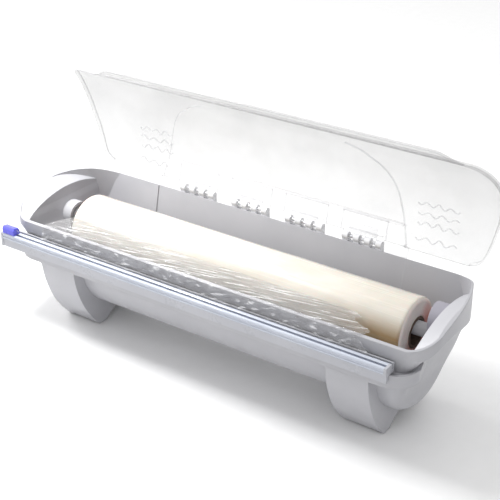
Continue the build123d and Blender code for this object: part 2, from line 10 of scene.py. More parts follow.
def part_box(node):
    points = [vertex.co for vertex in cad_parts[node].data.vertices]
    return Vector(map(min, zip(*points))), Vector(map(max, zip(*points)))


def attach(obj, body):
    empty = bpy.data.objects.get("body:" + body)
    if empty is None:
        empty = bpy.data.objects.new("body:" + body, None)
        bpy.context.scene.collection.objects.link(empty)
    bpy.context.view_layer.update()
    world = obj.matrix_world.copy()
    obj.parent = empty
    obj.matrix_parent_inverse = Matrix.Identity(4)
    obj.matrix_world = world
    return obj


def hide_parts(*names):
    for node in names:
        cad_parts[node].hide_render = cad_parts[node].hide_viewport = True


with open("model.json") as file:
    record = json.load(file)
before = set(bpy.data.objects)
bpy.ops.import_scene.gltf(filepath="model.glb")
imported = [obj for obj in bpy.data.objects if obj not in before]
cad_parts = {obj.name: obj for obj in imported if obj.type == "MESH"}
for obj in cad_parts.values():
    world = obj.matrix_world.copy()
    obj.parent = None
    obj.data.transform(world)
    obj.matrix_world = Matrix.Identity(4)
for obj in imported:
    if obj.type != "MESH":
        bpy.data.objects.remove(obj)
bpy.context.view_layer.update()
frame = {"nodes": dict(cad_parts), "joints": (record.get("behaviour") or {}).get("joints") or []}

# Everything ends up in metres in the part's own frame. Shapes are worked out in millimetres in
# the working frame, whose origin is the middle of the roll's axis, and placed() moves them over.
MM = 0.001
nodes = frame["nodes"]
joints = {j["name"]: j for j in frame["joints"]}

roll_low, roll_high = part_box("film_roll")
AXIS = Vector((0, (roll_low.y + roll_high.y) / 2, (roll_low.z + roll_high.z) / 2))
ROLL_R = (roll_high.z - roll_low.z) / 2 / MM
ROLL_HALF = roll_high.x / MM
core_low, core_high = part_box("core_tube")
CORE_R = (core_high.z - core_low.z) / 2 / MM
LID_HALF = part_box("lid_shell")[1].x / MM
HINGE = (Vector(joints["lid_hinge"]["pos_m"]) - AXIS) / MM
LID_OPEN = math.radians(joints["lid_hinge"]["range_deg"][1])
SHEET = 2.0
WELD = 1e-6

# The rim's arc over the trough in Y and Z, which the closed lid's lower edge follows.
RIM_FRONT, RIM_TOP, RIM_BACK = (-81.5, 27.6), (-6.0, 53.5), (70.0, 40.5)


def placed(points):
    """Working-frame millimetres to the part's frame in metres."""
    return np.asarray(points, float) * MM + np.array(AXIS)


def opened(points):
    """Swing closed-lid points in working millimetres up to the open lid's place."""
    p = np.asarray(points, float) - np.array((0, HINGE.y, HINGE.z))
    c, s = math.cos(-LID_OPEN), math.sin(-LID_OPEN)
    turned = np.stack([p[..., 0], p[..., 1] * c - p[..., 2] * s, p[..., 1] * s + p[..., 2] * c], -1)
    return turned + np.array((0, HINGE.y, HINGE.z))


def new_object(name, points, faces, material):
    """A smooth mesh object from points already in the part's frame."""
    mesh = bpy.data.meshes.new(name)
    mesh.from_pydata([tuple(p) for p in points], [], [tuple(f) for f in faces])
    mesh.validate()
    mesh.materials.append(material)
    bm = bmesh.new()
    bm.from_mesh(mesh)
    bmesh.ops.remove_doubles(bm, verts=bm.verts, dist=WELD)
    bmesh.ops.recalc_face_normals(bm, faces=bm.faces)
    bm.to_mesh(mesh)
    bm.free()
    mesh.polygons.foreach_set("use_smooth", [True] * len(mesh.polygons))
    obj = bpy.data.objects.new(name, mesh)
    bpy.context.scene.collection.objects.link(obj)
    return obj


def apply_modifiers(obj):
    """Replace an object's mesh by what its modifiers make of it."""
    bpy.context.view_layer.update()
    evaluated = obj.evaluated_get(bpy.context.evaluated_depsgraph_get())
    mesh = bpy.data.meshes.new_from_object(evaluated)
    obj.modifiers.clear()
    obj.data = mesh


def grid_faces(rows, columns, wrap=False):
    """Quads of a grid of points stored row by row."""
    faces = []
    last = columns if wrap else columns - 1
    for i in range(rows - 1):
        for j in range(last):
            k = (j + 1) % columns
            here, above = i * columns, (i + 1) * columns
            faces.append((here + j, here + k, above + k, above + j))
    return faces


# ---------------------------------------------------------------- materials


# The middle band of a noise's values, which vary() and two_tone() stretch over their range.
NOISE_BAND = (0.3, 0.7)
BEVEL_SAMPLES = 4


class Nodes:
    """Builds one node material: add() makes a node and sets its plain sockets."""

    def __init__(self, name):
        self.material = bpy.data.materials.new(name)
        self.material.use_nodes = True
        self.tree = self.material.node_tree
        self.tree.nodes.clear()
        self.out = self.add("ShaderNodeOutputMaterial")

    def add(self, kind, inputs=None, **settings):
        node = self.tree.nodes.new(kind)
        for key, value in settings.items():
            setattr(node, key, value)
        for key, value in (inputs or {}).items():
            if isinstance(value, bpy.types.NodeSocket):
                self.tree.links.new(value, node.inputs[key])
            else:
                node.inputs[key].default_value = value
        return node

    def link(self, source, target):
        self.tree.links.new(source, target)

    def noise(self, scale, detail=3.0, vector=None, roughness=0.55):
        node = self.add("ShaderNodeTexNoise",
                        {"Scale": scale, "Detail": detail, "Roughness": roughness})
        self.link(vector or self.coords(), node.inputs["Vector"])
        return node.outputs["Fac"]

    def coords(self):
        return self.add("ShaderNodeTexCoord").outputs["Object"]

    def about_axis(self):
        """X, and Y and Z measured from the roll's axis."""
        split = self.add("ShaderNodeSeparateXYZ", {"Vector": self.coords()})
        return (split.outputs["X"], self.maths("SUBTRACT", split.outputs["Y"], AXIS.y),
                self.maths("SUBTRACT", split.outputs["Z"], AXIS.z))

    def stretched(self, scale, turn=0.0):
        turned = self.add("ShaderNodeMapping", {"Rotation": (0, 0, turn)})
        self.link(self.coords(), turned.inputs["Vector"])
        node = self.add("ShaderNodeMapping", {"Scale": scale})
        self.link(turned.outputs["Vector"], node.inputs["Vector"])
        return node.outputs["Vector"]

    def ramp(self, value, *stops):
        node = self.add("ShaderNodeValToRGB", {"Fac": value})
        while len(node.color_ramp.elements) < len(stops):
            node.color_ramp.elements.new(0.5)
        for element, (place, colour) in zip(node.color_ramp.elements, stops):
            element.position = place
            element.color = (*colour, 1)
        return node.outputs["Color"]

    def spread(self, value, low, high, out_low, out_high):
        node = self.add("ShaderNodeMapRange", {"Value": value, "From Min": low, "From Max": high,
                                               "To Min": out_low, "To Max": out_high})
        return node.outputs["Result"]

    def vary(self, value, out_low, out_high):
        """Spread the middle band of a noise over a range."""
        return self.spread(value, *NOISE_BAND, out_low, out_high)

    def two_tone(self, value, dark, light):
        """A colour between two, by the middle band of a noise."""
        return self.ramp(value, (NOISE_BAND[0], dark), (NOISE_BAND[1], light))

    def maths(self, operation, a, b=0.0):
        node = self.add("ShaderNodeMath", operation=operation)
        for socket, value in zip(node.inputs, (a, b)):
            if isinstance(value, bpy.types.NodeSocket):
                self.link(value, socket)
            else:
                socket.default_value = value
        return node.outputs[0]

    def blend_colours(self, factor, a, b):
        node = self.add("ShaderNodeMix", data_type="RGBA")
        for key, value in (("Factor_Float", factor), ("A_Color", a), ("B_Color", b)):
            socket = next(s for s in node.inputs if s.identifier == key)
            if isinstance(value, bpy.types.NodeSocket):
                self.link(value, socket)
            else:
                socket.default_value = value if key == "Factor_Float" else (*value, 1)
        return next(s for s in node.outputs if s.identifier == "Result_Color")

    def bump(self, height, strength, distance, normal=None):
        node = self.add("ShaderNodeBump",
                        {"Height": height, "Strength": strength, "Distance": distance})
        if normal:
            self.link(normal, node.inputs["Normal"])
        return node.outputs["Normal"]

    def rounded(self, radius):
        node = self.add("ShaderNodeBevel", {"Radius": radius}, samples=BEVEL_SAMPLES)
        return node.outputs["Normal"]

    def surface(self, **inputs):
        node = self.add("ShaderNodeBsdfPrincipled")
        for key, value in inputs.items():
            socket = node.inputs[key.replace("_", " ")]
            if isinstance(value, bpy.types.NodeSocket):
                self.link(value, socket)
            elif isinstance(value, tuple):
                socket.default_value = (*value, 1)
            else:
                socket.default_value = value
        return node.outputs["BSDF"]

    def finish(self, shader):
        self.link(shader, self.out.inputs["Surface"])
        return self.material


MOTTLE_SCALE, SHEEN_SCALE, GRAIN_SCALE = 14, 32, 420
GRAIN_DEPTH = 0.0004


def moulded(name, light, dark, roughness, edge, grain=0.06):
    """Moulded or extruded plastic: faint mottling, fine grain and rounded edges."""
    n = Nodes(name)
    fine = n.noise(GRAIN_SCALE, 2)
    colour = n.two_tone(n.noise(MOTTLE_SCALE, 4), dark, light)
    sheen = n.vary(n.noise(SHEEN_SCALE, 4), roughness - 0.05, roughness + 0.07)
    rough = n.maths("ADD", sheen, n.vary(fine, -0.03, 0.03))
    normal = n.bump(fine, grain, GRAIN_DEPTH, n.rounded(edge))
    return n.finish(n.surface(Base_Color=colour, Roughness=rough, Normal=normal,
                              Specular_IOR_Level=0.4))


# Clear sheet whitens towards a glancing view: how quickly, how much, and how far in all.
GLANCE_POWER, GLANCE_SHARE, WHITEST = 2.4, 0.46, 0.95
# Where the open lid bends down to its hinges, with a painted lighter strip below the bend and a
# painted highlight line along it. Each pair after it is where a change begins and
# where it is complete, in metres: half the strip's width, below the bend, and off its line.
BEND_Z = AXIS.z + 0.0745
STRIP_FADE = (0.166, 0.160)
BEND_FADE = (0.001, -0.002)
BEND_HIGHLIGHT = (0.0022, 0.0008)
# Painted light: the clearer tint and paler body of the strip below the bend and of the painted
# highlight line at it.
PAINTED_LIGHT_TINT, PAINTED_LIGHT_BODY = (0.965, 0.965, 0.965), (0.95, 0.95, 0.96)


def clear_plastic(name, tint, body, haze_low, haze_high, bend=None):
    """Clear sheet with a faint milky body; below a bend it is painted lighter and clearer, with a
    painted highlight line along the bend.
    """
    n = Nodes(name)
    normal = n.bump(n.noise(26, 3), 0.22, 0.0016)
    glance = n.add("ShaderNodeLayerWeight", {"Blend": 0.42, "Normal": normal}).outputs["Facing"]
    whiten = n.maths("MULTIPLY", n.maths("POWER", glance, GLANCE_POWER), GLANCE_SHARE)
    weight = n.maths("ADD", n.spread(n.noise(16, 5), 0.35, 0.7, haze_low, haze_high), whiten)
    colour, through = body, (*tint, 1)
    if bend:
        split = n.add("ShaderNodeSeparateXYZ", {"Vector": n.coords()})
        z = split.outputs["Z"]
        # Painted light: the strip below the bend is made paler and clearer, and a painted highlight
        # line runs along the bend.
        within = n.spread(n.maths("ABSOLUTE", split.outputs["X"]), *STRIP_FADE, 0.0, 1.0)
        fade = n.spread(z, bend + BEND_FADE[0], bend + BEND_FADE[1], 0.0, 1.0)
        below = n.maths("MULTIPLY", fade, within)
        away = n.maths("ABSOLUTE", n.maths("SUBTRACT", z, bend))
        line = n.maths("MULTIPLY", n.spread(away, *BEND_HIGHLIGHT, 0.0, 1.0), within)
        through = n.blend_colours(below, tint, PAINTED_LIGHT_TINT)
        painted_light = n.maths("MAXIMUM", line, n.maths("MULTIPLY", below, 0.5))
        colour = n.blend_colours(painted_light, body, PAINTED_LIGHT_BODY)
        weight = n.maths("ADD", weight, n.maths("MULTIPLY", line, 0.45))
    seen_through = n.add("ShaderNodeBsdfTransparent", {"Color": through}).outputs["BSDF"]
    gloss = n.surface(Base_Color=colour, Roughness=n.vary(n.noise(40, 2), 0.05, 0.12),
                      Normal=normal, Specular_IOR_Level=0.65)
    share = n.maths("MINIMUM", weight, WHITEST)
    mix = n.add("ShaderNodeMixShader", {"Fac": share, 1: seen_through, 2: gloss})
    return n.finish(mix.outputs["Shader"])


trough_plastic = moulded("trough_plastic", (0.45, 0.45, 0.475), (0.415, 0.415, 0.44), 0.38,
                         edge=0.0012)
rail_plastic = moulded("rail_plastic", (0.48, 0.485, 0.52), (0.44, 0.445, 0.48), 0.30,
                       edge=0.0005)
track_plastic = moulded("track_plastic", (0.56, 0.59, 0.66), (0.50, 0.53, 0.61), 0.20,
                        edge=0.0003, grain=0.03)
pin_plastic = moulded("pin_plastic", (0.52, 0.52, 0.54), (0.47, 0.47, 0.49), 0.38, edge=0.001)
# The right bracket's plastic: its own violet-grey, darkened further as painted shade.
shaded_bracket_plastic = moulded("shaded_bracket_plastic", (0.34, 0.33, 0.375), (0.28, 0.27, 0.315), 0.36,
                          edge=0.001)
knuckle_plastic = moulded("knuckle_plastic", (0.76, 0.76, 0.78), (0.68, 0.68, 0.70), 0.30,
                          edge=0.0006)
slider_plastic = moulded("slider_plastic", (0.17, 0.17, 0.80), (0.12, 0.12, 0.68), 0.25,
                         edge=0.0009, grain=0.03)
pad_rubber = moulded("pad_rubber", (0.20, 0.20, 0.21), (0.15, 0.15, 0.16), 0.75,
                     edge=0.0006, grain=0.2)
lid_plastic = clear_plastic("lid_plastic", (0.925, 0.925, 0.925), (0.56, 0.56, 0.565),
                            0.09, 0.15, BEND_Z)
rib_plastic = clear_plastic("rib_plastic", (0.96, 0.96, 0.965), (0.72, 0.72, 0.73), 0.10, 0.18)
clip_plastic = clear_plastic("clip_plastic", (0.97, 0.97, 0.975), (0.90, 0.90, 0.91), 0.13, 0.26)


def steel(name, colour, roughness, fineness):
    """Drawn or ground steel with fine lines along X."""
    n = Nodes(name)
    streaks = n.noise(1.0, 2, n.stretched((8, fineness, fineness)))
    tone = n.two_tone(streaks, tuple(0.8 * c for c in colour), colour)
    rough = n.vary(streaks, roughness - 0.06, roughness + 0.08)
    return n.finish(n.surface(Base_Color=tone, Metallic=1.0, Roughness=rough,
                              Normal=n.bump(streaks, 0.15, 0.0002)))


pin_steel = steel("pin_steel", (0.60, 0.60, 0.62), 0.28, 2600)
blade_steel = steel("blade_steel", (0.74, 0.75, 0.77), 0.20, 4200)


# Turns of the board's spiral joint per metre, and the joint's share of a turn.
CARD_TURNS, CARD_SEAM = 32.0, 0.04


def card():
    """Spiral-wound board: slanting joints round the tube, and fibres, its tones darkened as painted
    shade for the bore.
    """
    n = Nodes("core_card")
    x, y, z = n.about_axis()
    turn = n.maths("DIVIDE", n.maths("ARCTAN2", y, z), 2 * math.pi)
    wind = n.maths("ADD", n.maths("MULTIPLY", x, CARD_TURNS), turn)
    seam = n.spread(n.maths("FRACT", wind), 0.0, CARD_SEAM, 0.0, 1.0)
    fibre = n.noise(160, 5)
    # painted shade: the board's tones are darkened to stand for the shade inside the bore
    board = n.two_tone(fibre, (0.085, 0.055, 0.040), (0.15, 0.10, 0.075))
    colour = n.blend_colours(seam, (0.05, 0.03, 0.02), board)
    height = n.maths("ADD", n.maths("MULTIPLY", seam, 0.6), n.maths("MULTIPLY", fibre, 0.4))
    return n.finish(n.surface(Base_Color=colour, Roughness=0.85,
                              Normal=n.bump(height, 0.5, 0.0004)))


core_card = card()


# Painted amber reflection on the roll's side: its colour, the heights from the axis over which it
# fades in downwards, and the X over which it fades in towards the right end.
AMBER_REFLECTION, REFLECTION_BELOW, REFLECTION_PAST = (0.36, 0.21, 0.06), (0.026, 0.008), (0.13, 0.19)
# Painted red-brown glow on the roll's end where light passes into it: its colour, the radii over
# which it fades in, and its lean to the back and lower side.
GLOW_RED, GLOW_RADIUS, GLOW_LEAN = (0.50, 0.06, 0.012), (0.0385, 0.031), (-0.022, 0.014)
RINGS_PER_METRE = 1500.0


def wound_film():
    """The film on the roll: glossy cream with slack bands, and a painted amber reflection low down
    at its right end.
    """
    n = Nodes("wound_film")
    x, _, z = n.about_axis()
    bands = n.noise(1.0, 3, n.stretched((9, 26, 26)))
    threads = n.noise(1.0, 4, n.stretched((5, 330, 330)))
    cream = n.ramp(bands, (0.3, (0.58, 0.54, 0.47)), (0.55, (0.68, 0.64, 0.57)),
                   (0.8, (0.75, 0.72, 0.66)))
    # painted reflection: amber low down on the roll towards its right end
    low = n.spread(z, *REFLECTION_BELOW, 0.0, 1.0)
    outer = n.spread(x, *REFLECTION_PAST, 0.0, 1.0)
    patchy = n.spread(bands, 0.3, 0.6, 0.65, 1.0)
    amber = n.maths("MULTIPLY", n.maths("MULTIPLY", low, outer), patchy)
    colour = n.blend_colours(amber, cream, AMBER_REFLECTION)
    height = n.maths("ADD", n.maths("MULTIPLY", bands, 0.8), n.maths("MULTIPLY", threads, 0.2))
    rough = n.spread(threads, 0.35, 0.65, 0.14, 0.30)
    return n.finish(n.surface(Base_Color=colour, Roughness=rough,
                              Normal=n.bump(height, 0.55, 0.0011), Coat_Weight=0.4,
                              Coat_Roughness=0.09, Subsurface_Weight=0.15,
                              Subsurface_Scale=0.004, Specular_IOR_Level=0.6))


def film_end():
    """The roll's end: fine rings of film edges, pale outside, with a painted red-brown glow where
    light soaks in.
    """
    n = Nodes("film_end")
    _, y, z = n.about_axis()
    squares = n.maths("ADD", n.maths("MULTIPLY", y, y), n.maths("MULTIPLY", z, z))
    radius = n.maths("SQRT", squares)
    rings = n.add("ShaderNodeTexNoise", {"Scale": 1.0, "Detail": 3.0}, noise_dimensions="1D")
    n.link(n.maths("MULTIPLY", radius, RINGS_PER_METRE), rings.inputs["W"])
    ring = rings.outputs["Fac"]
    # painted light: a red-brown glow deep in the end, leaning to its back and lower side
    depth = n.spread(radius, *GLOW_RADIUS, 0.0, 1.0)
    lean = n.spread(n.maths("SUBTRACT", y, n.maths("MULTIPLY", z, 1.2)), *GLOW_LEAN, 0.0, 1.0)
    cloud = n.spread(n.noise(34, 3), 0.35, 0.6, 0.5, 1.0)
    painted_glow = n.maths("MULTIPLY", n.maths("MULTIPLY", depth, lean), cloud)
    pale = n.two_tone(ring, (0.66, 0.58, 0.53), (0.84, 0.77, 0.72))
    colour = n.blend_colours(painted_glow, pale, GLOW_RED)
    return n.finish(n.surface(Base_Color=colour, Roughness=0.34, Normal=n.bump(ring, 0.6, 0.0005),
                              Subsurface_Weight=0.2, Subsurface_Scale=0.003,
                              Specular_IOR_Level=0.6))


roll_side = wound_film()
roll_end = film_end()


CREASE_STRETCH, CREASE_TURN = (22, 330, 330), math.radians(-16)


def free_film():
    """Thin clear film: a faint grey veil, with painted highlight lines and painted shade lines
    along its wrinkles.
    """
    n = Nodes("free_film")
    creases = n.noise(1.0, 4, n.stretched(CREASE_STRETCH, CREASE_TURN), 0.6)
    normal = n.bump(creases, 1.0, 0.0022)
    glance = n.add("ShaderNodeLayerWeight", {"Blend": 0.35, "Normal": normal}).outputs["Facing"]
    # painted light: bright ridges of the wrinkles are painted highlights, dark hollows painted
    # shade
    bright = n.spread(creases, 0.56, 0.66, 0.0, 0.45)
    dark = n.spread(creases, 0.44, 0.36, 0.0, 0.24)
    veil = n.maths("ADD", 0.15, n.maths("ADD", bright, dark))
    weight = n.maths("ADD", veil, n.maths("MULTIPLY", n.maths("POWER", glance, 2.0), 0.30))
    clear = (0.96, 0.96, 0.965, 1)
    seen_through = n.add("ShaderNodeBsdfTransparent", {"Color": clear}).outputs["BSDF"]
    # the dark end of this ramp is painted shade in the hollows, the bright end a painted highlight
    # on the ridges
    body = n.ramp(creases, (0.40, (0.34, 0.33, 0.33)), (0.50, (0.66, 0.65, 0.64)),
                  (0.62, (0.92, 0.92, 0.93)))
    gloss = n.surface(Base_Color=body, Roughness=0.14, Normal=normal, Specular_IOR_Level=0.9)
    share = n.maths("MINIMUM", weight, 0.9)
    mix = n.add("ShaderNodeMixShader", {"Fac": share, 1: seen_through, 2: gloss})
    return n.finish(mix.outputs["Shader"])


loose_film = free_film()


def dress(names, material):
    """Give carried-over CAD nodes their material."""
    for name in names:
        mesh = nodes[name].data
        mesh.materials.clear()
        mesh.materials.append(material)


def starting(*starts):
    """Names of the CAD nodes that begin with any of the given words."""
    return [name for name in sorted(nodes) if name.startswith(starts)]


dress(["trough_body"], trough_plastic)
dress(starting("hinge_block"), knuckle_plastic)
# The right bracket gets the darker plastic as painted shade; the left one, on the lit side, gets
# the lighter pin plastic.
dress(["roll_bracket_right"], shaded_bracket_plastic)
dress(["roll_bracket_left"], pin_plastic)
dress(starting("rail_base", "rail_cap"), rail_plastic)
dress(["rail_track"], track_plastic)
dress(starting("support_pin"), pin_plastic)
dress(starting("hinge_pin"), pin_steel)
dress(starting("lid_clip"), clip_plastic)
dress(["slider_body", "slider_keel"], slider_plastic)
dress(["slider_blade"], blade_steel)
dress(starting("foot_pad"), pad_rubber)
# The core's card is darkened as painted shade for the bore.
dress(["core_tube"], core_card)


# ---------------------------------------------------------------- shared curves


def arc_height(y, rise=0.0):
    """Height of the rim's arc at y."""
    (y1, z1), (y2, z2), (y3, z3) = RIM_FRONT, RIM_TOP, RIM_BACK
    d = 2 * (y1 * (z2 - z3) + y2 * (z3 - z1) + y3 * (z1 - z2))
    squares = [y1 * y1 + z1 * z1, y2 * y2 + z2 * z2, y3 * y3 + z3 * z3]
    cy = (squares[0] * (z2 - z3) + squares[1] * (z3 - z1) + squares[2] * (z1 - z2)) / d
    cz = (squares[0] * (y3 - y2) + squares[1] * (y1 - y3) + squares[2] * (y2 - y1)) / d
    radius = math.hypot(y1 - cy, z1 - cz)
    return cz + np.sqrt(radius ** 2 - (np.asarray(y, float) - cy) ** 2) + rise


def smooth_curve(points, values):
    """A smooth curve through a few points, at the given first coordinates."""
    x, y = np.array(points, float).T
    h = np.diff(x)
    delta = np.diff(y) / h
    slope = np.empty_like(x)
    slope[1:-1] = np.where(delta[:-1] * delta[1:] > 0,
                           2 * delta[:-1] * delta[1:] / (delta[:-1] + delta[1:] + 1e-12), 0)
    slope[0], slope[-1] = delta[0], delta[-1]
    v = np.clip(np.asarray(values, float), x[0], x[-1])
    k = np.clip(np.searchsorted(x, v) - 1, 0, len(h) - 1)
    t = (v - x[k]) / h[k]
    return ((2 * t ** 3 - 3 * t ** 2 + 1) * y[k] + (t ** 3 - 2 * t ** 2 + t) * h[k] * slope[k]
            + (3 * t ** 2 - 2 * t ** 3) * y[k + 1] + (t ** 3 - t ** 2) * h[k] * slope[k + 1])


def step(value, low, high):
    """Rises smoothly from 0 at low to 1 at high."""
    t = np.clip((np.asarray(value, float) - low) / (high - low), 0, 1)
    return t * t * (3 - 2 * t)


# ---------------------------------------------------------------- lid

LID_FRONT, LID_BACK, STRIP_BACK = -64.0, 65.0, 68.0
STRIP_HALF = 172.0
# Half the width inside which the lid's rows stay straight, before its ends draw in.
LID_STEADY = 236.0
# Heights along the middle of the closed lid, from front to back, in Y and Z.
LID_PROFILE = ((-64, 39.5), (-61.5, 46.3), (-52, 53.0), (-30, 59.9), (2, 64.6), (30, 62.3),
               (47, 57.9), (52, 55.8), (68, 49.5))
# Half the closed lid's width behind its front corners, in Y and X.
LID_SIDE = ((-26, LID_HALF), (2, 276.8), (24, 271.5), (42, 266.5), (56, 261), (62, 255), (65, 246))
# Radius of the front corner on each side in plan.
CORNERS = {-1: 12.0, 1: 38.0}
# The closed lid's ends round down over this width to just above the rim.
END_ROUND, END_ABOVE_RIM = 24, 6.5
SKIRT_ABOVE_RIM, SKIRT_LEAST, SKIRT_FOLD = 1.0, 0.4, 0.65


def lid_half_width(y, sign):
    """Half the closed lid's width at y on one side: rounded at the front, drawn in at the back."""
    y = np.asarray(y, float)
    corner = CORNERS[sign]
    lean = smooth_curve(LID_SIDE, y)
    inside = np.clip(LID_FRONT + corner - y, 0, corner)
    rounded = LID_HALF - corner + np.sqrt(corner ** 2 - inside ** 2)
    return np.where(y < LID_FRONT + corner, rounded, lean)


def half_width_beside(x, y):
    """Half the closed lid's width at y, on the side that each x is on."""
    return np.where(np.asarray(x) < 0, lid_half_width(y, -1), lid_half_width(y, 1))


def lid_height(x, y):
    """Height of the closed lid's outer face: domed, and rounded down towards both ends."""
    side = smooth_curve(LID_PROFILE, y)
    edge = np.minimum(side, arc_height(y, END_ABOVE_RIM))
    t = np.clip((np.abs(x) - (half_width_beside(x, y) - END_ROUND)) / END_ROUND, 0, 1)
    return side - (side - edge) * (1 - np.sqrt(1 - t ** 2 * 0.999))


def lid_sheet():
    """The lid's outer face: its dome, the skirt round it and the strip back to the hinges."""
    ys = np.concatenate([np.linspace(LID_FRONT, -50, 12), np.linspace(-46, 42, 30),
                         np.linspace(44, 54, 7), np.linspace(56.5, LID_BACK, 5)])
    outward = np.sin(np.linspace(0, math.pi / 2, 15)[1:])
    right = np.concatenate([np.linspace(0, LID_STEADY, 60),
                            LID_STEADY + (LID_HALF - LID_STEADY) * outward])
    base = np.concatenate([-right[:0:-1], right])
    dome = []
    for y in ys:
        scale = (half_width_beside(base, y) - LID_STEADY) / (LID_HALF - LID_STEADY)
        drawn_in = np.sign(base) * (LID_STEADY + (np.abs(base) - LID_STEADY) * scale)
        x = np.where(np.abs(base) > LID_STEADY, drawn_in, base)
        across = np.full_like(x, y)
        dome.append(np.stack([x, across, lid_height(x, across)], -1))
    dome = np.concatenate(dome)
    rows, columns = len(ys), len(base)
    last_row = (rows - 1) * columns
    faces = grid_faces(rows, columns)

    # the dome's edge, once round it: front, right, back and left
    loop = list(range(columns))
    loop += [i * columns + columns - 1 for i in range(1, rows)]
    loop += [last_row + j for j in range(columns - 2, -1, -1)]
    loop += [i * columns for i in range(rows - 2, 0, -1)]
    edge = dome[loop]
    on_strip = (np.abs(edge[:, 1] - LID_BACK) < 0.01) & (np.abs(edge[:, 0]) < STRIP_HALF)
    foot = edge.copy()
    foot[:, 2] = np.minimum(arc_height(edge[:, 1], SKIRT_ABOVE_RIM), edge[:, 2] - SKIRT_LEAST)
    fold = edge * (1 - SKIRT_FOLD) + foot * SKIRT_FOLD
    start, n = len(dome), len(loop)
    for k in range(n):
        a = (k + 1) % n
        if on_strip[k] and on_strip[a]:
            continue
        faces.append((loop[k], loop[a], start + a, start + k))
        faces.append((start + k, start + a, start + n + a, start + n + k))

    # the strip that reaches back to the hinges between the outer skirts
    back_row = [last_row + j for j in range(columns) if abs(dome[last_row + j][0]) < STRIP_HALF]
    strip_z = float(smooth_curve(LID_PROFILE, STRIP_BACK))
    strip = [(dome[index][0], STRIP_BACK, strip_z) for index in back_row]
    strip_start = start + 2 * n
    for k in range(len(back_row) - 1):
        faces.append((back_row[k], back_row[k + 1], strip_start + k + 1, strip_start + k))
    return np.concatenate([dome, fold, foot, strip]), faces


# The tabs' fall towards their ends, and the corner that rounds them off there.
TAB_TOP, TAB_SLOPE = 49.5, 0.392
TAB_ROUND_Y, TAB_ROUND_REACH, TAB_ROUND_INSET = 78.0, 2.6, 1.6


def lid_tabs():
    """Tabs that carry the lid's back strip past the hinge line between the hinges."""
    pieces = []
    edges = [-STRIP_HALF]
    for centre, half in stations():
        edges += [centre - half - 1, centre + half + 1]
    edges.append(STRIP_HALF)
    ys = np.array((STRIP_BACK, 71.0, 75.0, 78.5, 80.0, 80.5))
    heights = TAB_TOP - TAB_SLOPE * (ys - STRIP_BACK)
    for low, high in zip(edges[::2], edges[1::2]):
        xs = np.linspace(low, high, 14)
        rows = []
        for y, z in zip(ys, heights):
            inset = 0.0
            if y > TAB_ROUND_Y:
                along = (y - TAB_ROUND_Y) / TAB_ROUND_REACH
                inset = TAB_ROUND_INSET * (1 - math.sqrt(max(0.0, 1 - along ** 2)))
            x = np.clip(xs, low + inset, high - inset)
            rows.append(np.stack([x, np.full_like(xs, y), np.full_like(xs, z)], -1))
        pieces.append((np.concatenate(rows), grid_faces(len(ys), len(xs))))
    return pieces


FLANGE_OUT, FLANGE_DROP, FLANGE_LIP = 13.0, 6.3, 1.4
FLANGE_TOP = 40.6
# Where the flange begins to draw in along X, and where it has run out.
FLANGE_FULL, FLANGE_END = 214, 243


def flange_reach(x):
    """How far the front flange stands out at x: full in the middle, an S-curve down to nothing."""
    return 1 - step(np.abs(x), FLANGE_FULL, FLANGE_END)


def lid_flange():
    """The lip along the lid's front edge that a finger lifts it by."""
    xs = np.linspace(-FLANGE_END, FLANGE_END, 163)
    rows = []
    for t in (0.0, 0.3, 0.65, 0.92, 1.0):
        y = LID_FRONT + 0.6 - t * (flange_reach(xs) * FLANGE_OUT)
        z = FLANGE_TOP - FLANGE_DROP * t * flange_reach(xs) - (FLANGE_LIP if t == 1.0 else 0.0)
        rows.append(np.stack([xs, y, z], -1))
    return np.concatenate(rows), grid_faces(len(rows), len(xs))


def tube(path, radius, sides=8, flat=1.0):
    """A closed round bar along a path, thinner upright where flat is under 1."""
    path = np.asarray(path, float)
    ahead = np.gradient(path, axis=0)
    ahead /= np.linalg.norm(ahead, axis=1)[:, None] + 1e-12
    up = np.array((0.0, 0.0, 1.0))
    side = np.cross(ahead, up)
    side /= np.linalg.norm(side, axis=1)[:, None] + 1e-12
    lift = np.cross(side, ahead)
    points = []
    for i, p in enumerate(path):
        for k in range(sides):
            a = 2 * math.pi * k / sides
            points.append(p + side[i] * radius * math.cos(a)
                          + lift[i] * radius * flat * math.sin(a))
    faces = grid_faces(len(path), sides, wrap=True)
    faces.append(tuple(range(sides)))
    faces.append(tuple(range((len(path) - 1) * sides, len(path) * sides))[::-1])
    return np.array(points), faces


def on_lid(x, y, depth):
    """A path on the closed lid, a depth under its outer face."""
    return np.stack([x, y, lid_height(x, y) - depth], -1)


def stations():
    """Middle of each hinge along X, with half its width, in working millimetres."""
    found = []
    for name in starting("hinge_block"):
        low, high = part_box(name)
        found.append(((low.x + high.x) / 2 / MM, (high.x - low.x) / 2 / MM))
    return found


# The raised panel's right edge from front to back, in Y and X; the left one mirrors it, thinner.
PANEL_EDGE = ((-44, 96), (-38, 114), (-30, 126), (-22, 137), (-3, 150), (16, 156.5), (36, 161),
              (56, 166), (67, 169))
PANEL_RADIUS = {-1: 0.5, 1: 1.0}
WINDOW_FRONT, WINDOW_SILL, WINDOW_DEPTH = 46.0, 63.5, 2.6
WINDOW_RIB = (47, 66)
# Wave-shaped grips: where each side's rows begin, how wide they are, and where each row lies.
GRIP_INNER, GRIP_WIDTH = {-1: 157, 1: 178}, 49
GRIP_ROWS = (14.0, 26.0, 37.5, 54.0)
GRIP_HEIGHT, GRIP_HALF_WAVES = 2.3, 7


